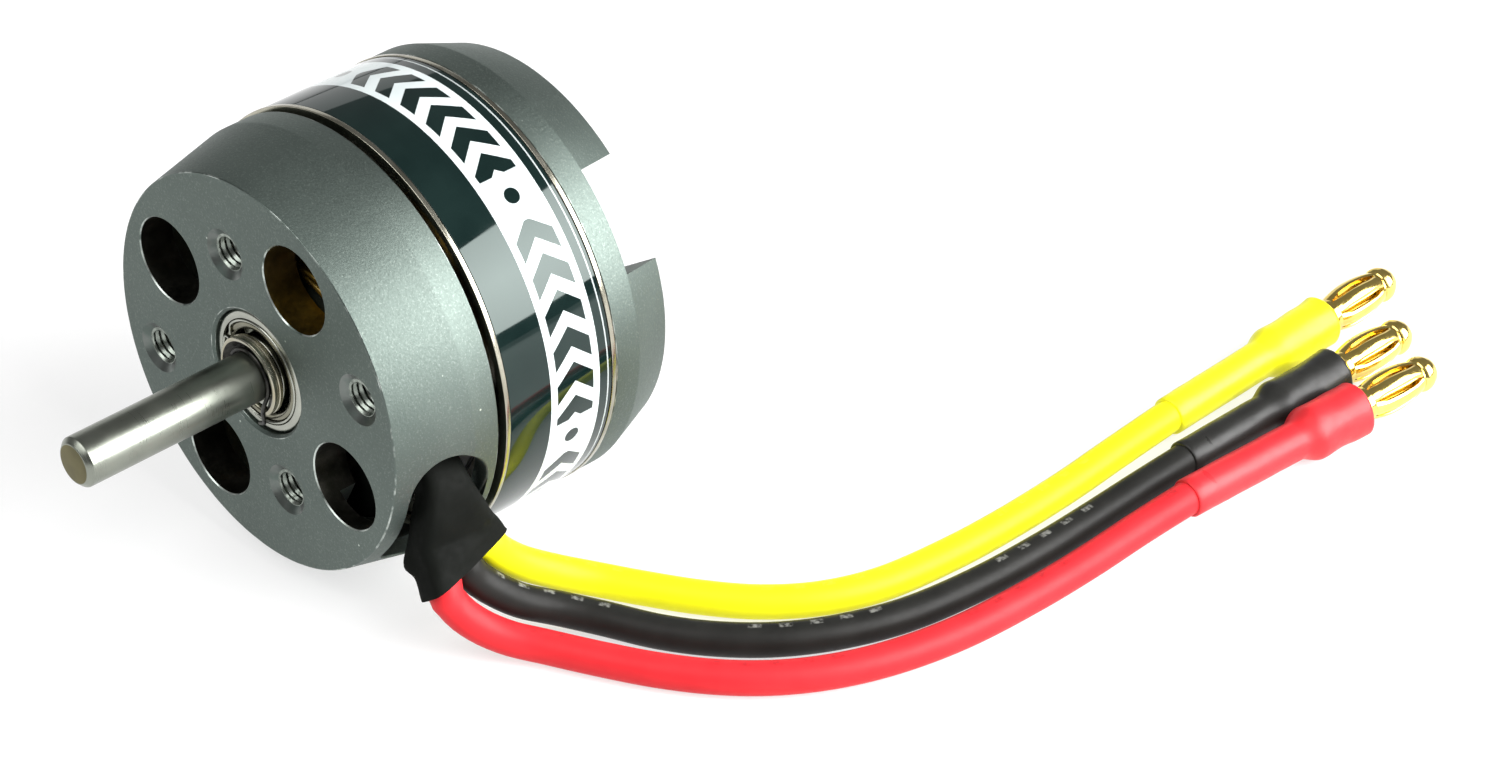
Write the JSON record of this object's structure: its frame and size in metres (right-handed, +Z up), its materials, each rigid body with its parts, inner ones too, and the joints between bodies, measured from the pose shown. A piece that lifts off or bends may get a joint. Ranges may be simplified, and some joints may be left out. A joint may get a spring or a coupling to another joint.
{
  "type": "brushless outrunner motor",
  "caption": "Brushless outrunner motor with a projecting front shaft, a flat front mounting face and three leads that end in bullet connectors.",
  "frame": {"origin": "on the surface that the motor lies on, under the middle of the motor's length along its axis (leads left out)", "axes": "+Z up, the motor's axis along Y with the shaft pointing to -Y, +X to the side where the leads leave"},
  "size_m": [0.0644, 0.1053, 0.035],
  "materials": {
    "anodised_aluminium": "bead-blasted grey anodise with bright worn edges",
    "tube_aluminium": "turned",
    "ring_steel": "turned and plated",
    "shaft_steel": "ground",
    "bearing_steel": "polished",
    "lamination_steel": "stacked sheet",
    "end_insulator": "matt",
    "enamelled_copper": "enamelled wire",
    "nickel_magnet": "nickel plated",
    "gloss_label": "gloss film with a pale stripe",
    "heat_shrink": "matt",
    "gold_plate": "gold plated",
    "yellow_insulation": "silicone rubber and heat-shrink",
    "black_insulation": "silicone rubber and heat-shrink",
    "red_insulation": "silicone rubber and heat-shrink"
  },
  "bodies": {
    "stator": {"front_housing": "anodised_aluminium", "bearing_tube": "tube_aluminium", "front_bearing_outer_race": "bearing_steel", "front_bearing_shield": "bearing_steel", "front_bearing_snap_ring": "bearing_steel", "rear_bearing_outer_race": "bearing_steel", "rear_bearing_shield": "bearing_steel", "stator_core": "lamination_steel", "front_end_insulator": "end_insulator", "rear_end_insulator": "end_insulator", "stator_coil_01": "enamelled_copper", "stator_coil_02": "enamelled_copper", "stator_coil_03": "enamelled_copper", "stator_coil_04": "enamelled_copper", "stator_coil_05": "enamelled_copper", "stator_coil_06": "enamelled_copper", "stator_coil_07": "enamelled_copper", "stator_coil_08": "enamelled_copper", "stator_coil_09": "enamelled_copper", "stator_coil_10": "enamelled_copper", "stator_coil_11": "enamelled_copper", "stator_coil_12": "enamelled_copper", "lead_heat_shrink": "heat_shrink", "yellow_lead": "yellow_insulation", "black_lead": "black_insulation", "red_lead": "red_insulation", "yellow_lead_sleeve": "yellow_insulation", "black_lead_sleeve": "black_insulation", "red_lead_sleeve": "red_insulation", "yellow_bullet_connector": "gold_plate", "black_bullet_connector": "gold_plate", "red_bullet_connector": "gold_plate"},
    "rotor": {"shaft": "shaft_steel", "shaft_retaining_clip": "bearing_steel", "front_bearing_inner_race": "bearing_steel", "rear_bearing_inner_race": "bearing_steel", "rear_thrust_washer": "bearing_steel", "flux_ring": "ring_steel", "label_sleeve": "gloss_label", "magnet_01": "nickel_magnet", "magnet_02": "nickel_magnet", "magnet_03": "nickel_magnet", "magnet_04": "nickel_magnet", "magnet_05": "nickel_magnet", "magnet_06": "nickel_magnet", "magnet_07": "nickel_magnet", "magnet_08": "nickel_magnet", "magnet_09": "nickel_magnet", "magnet_10": "nickel_magnet", "magnet_11": "nickel_magnet", "magnet_12": "nickel_magnet", "magnet_13": "nickel_magnet", "magnet_14": "nickel_magnet", "rear_cap": "anodised_aluminium", "rear_grub_screw_1": "bearing_steel", "rear_grub_screw_2": "bearing_steel"},
    "front_ball_cage": {"front_bearing_ball_cage": "bearing_steel"},
    "rear_ball_cage": {"rear_bearing_ball_cage": "bearing_steel"}
  },
  "joints": [
    {"name": "rotor_spin", "type": "hinge", "parent": "stator", "child": "rotor", "pos_m": [0, 0, 0.0175], "axis": [0, 1, 0], "continuous": true},
    {"name": "front_ball_cage_spin", "type": "hinge", "parent": "stator", "child": "front_ball_cage", "pos_m": [0, 0, 0.0175], "axis": [0, 1, 0], "continuous": true},
    {"name": "rear_ball_cage_spin", "type": "hinge", "parent": "stator", "child": "rear_ball_cage", "pos_m": [0, 0, 0.0175], "axis": [0, 1, 0], "continuous": true}
  ],
  "couplings": [
    {"joint": "front_ball_cage_spin", "follows": "rotor_spin", "ratio": 0.3929},
    {"joint": "rear_ball_cage_spin", "follows": "rotor_spin", "ratio": 0.3929}
  ]
}
